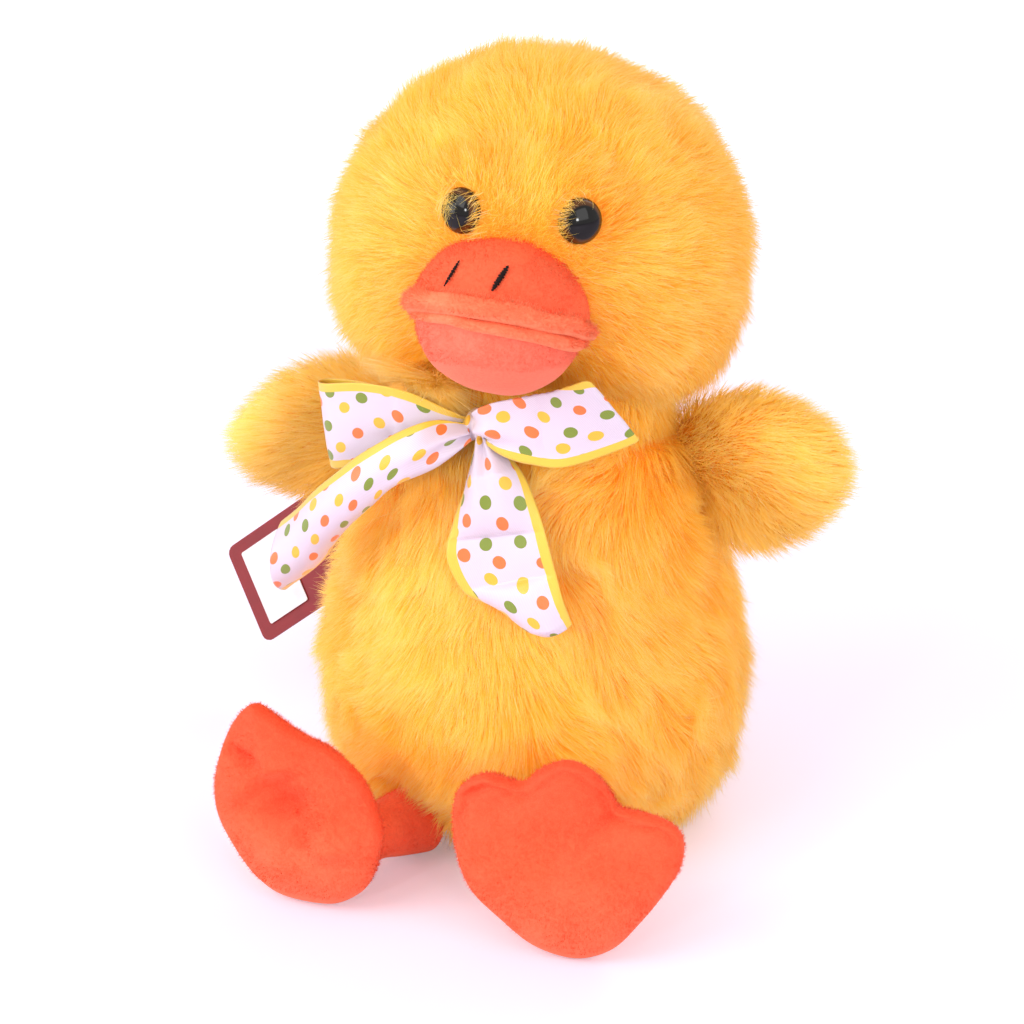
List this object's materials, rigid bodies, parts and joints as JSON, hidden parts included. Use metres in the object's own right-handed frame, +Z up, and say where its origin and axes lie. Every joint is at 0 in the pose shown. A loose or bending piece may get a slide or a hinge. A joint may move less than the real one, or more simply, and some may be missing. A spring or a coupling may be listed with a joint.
{
  "type": "plush duck",
  "caption": "Seated plush duck with a round fluffy head, padded bill, stub wings, three-toed feet and a dotted satin bow at the neck.",
  "frame": {"origin": "middle of the underside of the seat panel, on the floor the duck sits on", "axes": "+Z up; the duck faces -Y; +X is the duck's left"},
  "size_m": [0.2592, 0.1863, 0.2841],
  "materials": {
    "yellow_fur": "long soft pile",
    "orange_plush": "short plush pile",
    "salmon_plush": "short plush pile",
    "white_filling": "loose fibre filling",
    "pouch_cloth": "plain woven",
    "seat_cloth": "short flat pile",
    "eye_plastic": "polished",
    "washer_plastic": "moulded",
    "black_thread": "thread",
    "satin_ribbon": "satin weave",
    "red_card": "coated card",
    "pale_label": "coated paper",
    "clear_nylon": "drawn filament"
  },
  "bodies": {
    "body": {"body_cover": "yellow_fur", "seat_panel": "seat_cloth", "body_stuffing": "white_filling", "pellet_pouch": "pouch_cloth", "ribbon_band": "satin_ribbon", "ribbon_knot": "satin_ribbon", "ribbon_left_loop": "satin_ribbon", "ribbon_right_loop": "satin_ribbon", "ribbon_left_tail": "satin_ribbon", "ribbon_right_tail": "satin_ribbon"},
    "neck": {"neck_stuffing": "white_filling"},
    "head": {"head_cover": "yellow_fur", "head_stuffing": "white_filling", "upper_bill": "orange_plush", "upper_lip": "orange_plush", "lower_lip": "salmon_plush", "lower_bill": "salmon_plush", "left_nostril": "black_thread", "right_nostril": "black_thread", "left_eye": "eye_plastic", "right_eye": "eye_plastic", "left_eye_washer": "washer_plastic", "right_eye_washer": "washer_plastic"},
    "left_wing": {"left_wing": "yellow_fur"},
    "right_wing": {"right_wing": "yellow_fur"},
    "left_leg": {"left_leg": "orange_plush", "left_foot": "orange_plush"},
    "right_leg": {"right_leg": "orange_plush", "right_foot": "orange_plush"},
    "tag": {"tag_card": "red_card", "tag_label": "pale_label", "tag_loop": "clear_nylon"}
  },
  "joints": [
    {"name": "head_turn", "type": "hinge", "parent": "body", "child": "neck", "pos_m": [0, 0, 0.162], "axis": [0, 0.2079, 0.9781], "range_deg": [-24, 5], "stiffness_Nm_per_rad": 0.25},
    {"name": "head_nod", "type": "hinge", "parent": "neck", "child": "head", "pos_m": [0, 0, 0.162], "axis": [0.9781, 0.2034, -0.0432], "range_deg": [-12, 1], "stiffness_Nm_per_rad": 2},
    {"name": "left_wing_sweep", "type": "hinge", "parent": "body", "child": "left_wing", "pos_m": [0.0583, 0.008, 0.135], "axis": [-0.342, 0, 0.9397], "range_deg": [-30, 30], "stiffness_Nm_per_rad": 0.08},
    {"name": "right_wing_sweep", "type": "hinge", "parent": "body", "child": "right_wing", "pos_m": [-0.0583, 0.008, 0.135], "axis": [0.342, 0, 0.9397], "range_deg": [-35, 18], "stiffness_Nm_per_rad": 0.08},
    {"name": "left_leg_splay", "type": "hinge", "parent": "body", "child": "left_leg", "pos_m": [0.032, -0.056, 0.0165], "axis": [0, 0, 1], "range_deg": [-8, 22], "stiffness_Nm_per_rad": 0.05},
    {"name": "right_leg_splay", "type": "hinge", "parent": "body", "child": "right_leg", "pos_m": [-0.032, -0.056, 0.0165], "axis": [0, 0, 1], "range_deg": [-22, 8], "stiffness_Nm_per_rad": 0.05},
    {"name": "tag_swing", "type": "hinge", "parent": "body", "child": "tag", "pos_m": [-0.0448, 0.0508, 0.1], "axis": [0.2346, 0.8754, -0.4226], "range_deg": [-10, 25]}
  ]
}
